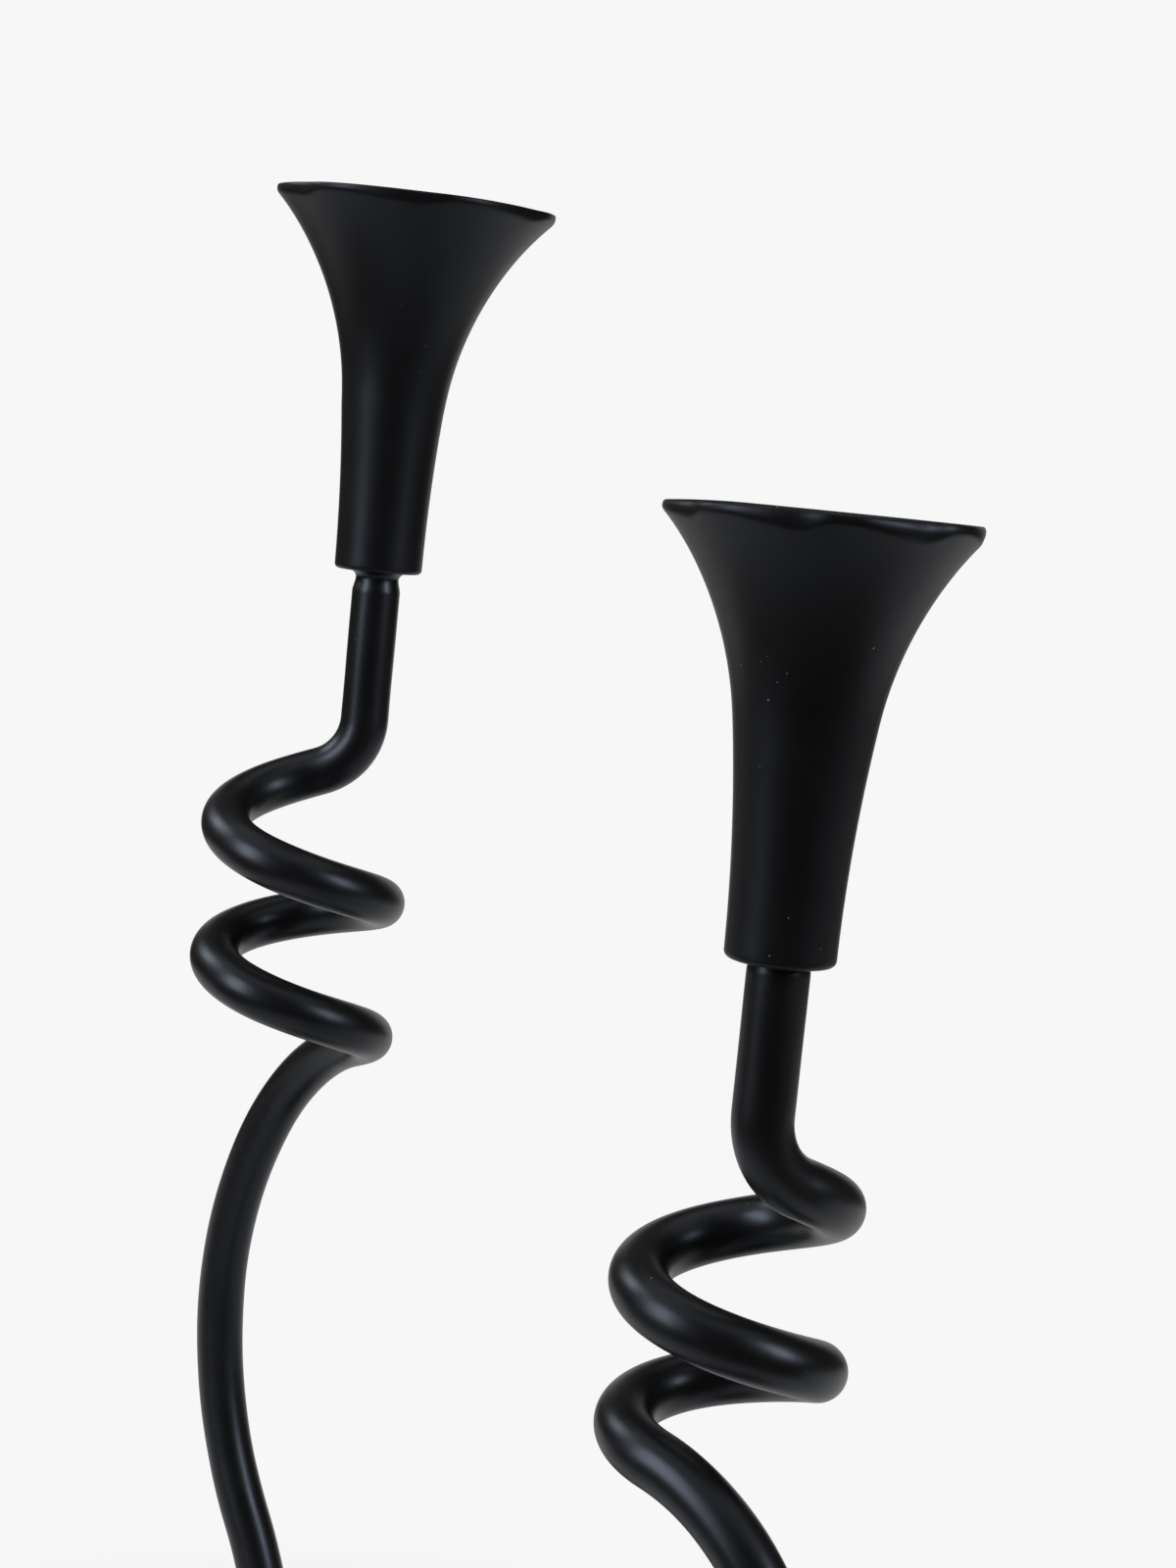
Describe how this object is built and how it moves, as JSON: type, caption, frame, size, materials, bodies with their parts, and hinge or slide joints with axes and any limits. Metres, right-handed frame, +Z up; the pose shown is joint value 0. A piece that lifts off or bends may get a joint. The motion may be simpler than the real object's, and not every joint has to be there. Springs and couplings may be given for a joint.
{
  "type": "spiral candle holder set",
  "caption": "Tall and short spiral candle holders: each a black round bar coiled below a trumpet cup with a lobed lip, on a round foot plate.",
  "frame": {"origin": "on the table, midway between the two foot plates", "axes": "+X to the right as pictured, +Y away from the viewer, +Z up along the cups"},
  "size_m": [0.2175, 0.339, 0.4301],
  "materials": {
    "black_paint": "satin black paint on steel",
    "zinc_steel": "zinc-plated screw steel",
    "felt": "black felt"
  },
  "bodies": {
    "root": {"tall_stem": "black_paint", "tall_cup": "black_paint", "tall_base_plate": "black_paint", "tall_cup_screw": "zinc_steel", "tall_cup_washer": "zinc_steel", "tall_base_screw": "zinc_steel", "tall_felt_pads": "felt", "short_stem": "black_paint", "short_cup": "black_paint", "short_base_plate": "black_paint", "short_cup_screw": "zinc_steel", "short_cup_washer": "zinc_steel", "short_base_screw": "zinc_steel", "short_felt_pads": "felt"}
  },
  "joints": []
}
